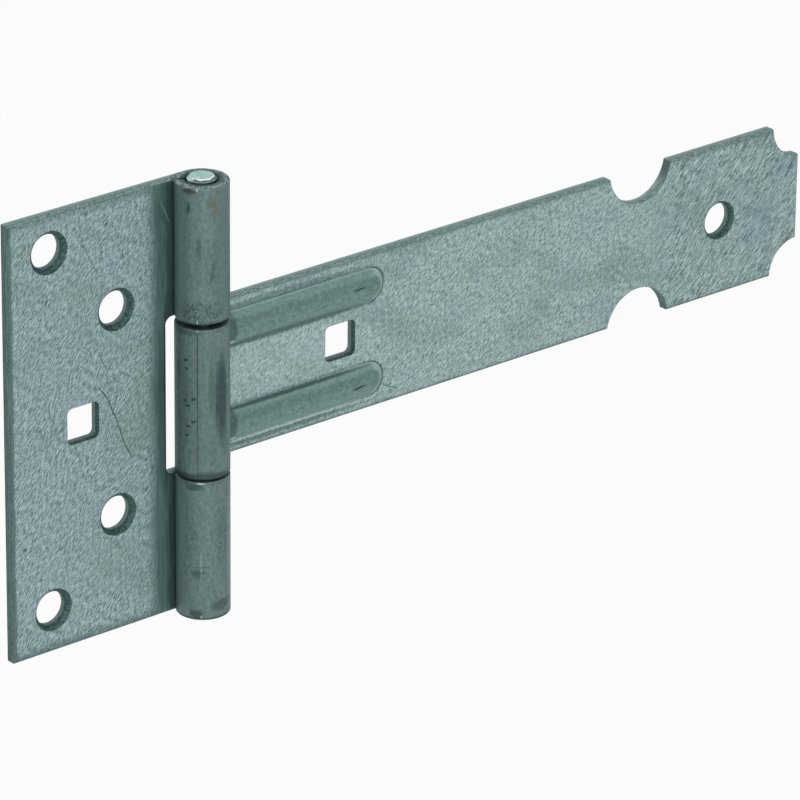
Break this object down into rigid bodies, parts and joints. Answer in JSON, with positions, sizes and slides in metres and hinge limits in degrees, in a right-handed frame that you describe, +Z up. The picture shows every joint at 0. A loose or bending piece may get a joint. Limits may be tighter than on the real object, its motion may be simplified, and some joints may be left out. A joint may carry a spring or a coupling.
{
  "type": "tee hinge",
  "caption": "Tee hinge of galvanised sheet steel: an upright plate leaf and a long ribbed strap leaf, rolled round a pin, with countersunk round holes and square bolt holes.",
  "frame": {"origin": "on the plate leaf's back face, midway between its two outer screw holes", "axes": "+X along the strap towards its tip, +Y out of the back faces into what the hinge is fixed to, +Z up along the pin"},
  "size_m": [0.2465, 0.0131, 0.1108],
  "materials": {
    "galvanised_sheet": "zinc-coated steel sheet, dull greenish grey",
    "zinc_plated_pin": "bright zinc-plated round bar"
  },
  "bodies": {
    "plate": {"plate_leaf": "galvanised_sheet", "hinge_pin": "zinc_plated_pin"},
    "strap": {"strap_leaf": "galvanised_sheet"}
  },
  "joints": [
    {"name": "strap_swing", "type": "hinge", "parent": "plate", "child": "strap", "pos_m": [0.0415, -0.00655, 0], "axis": [0, 0, -1], "range_deg": [-90, 180]}
  ]
}
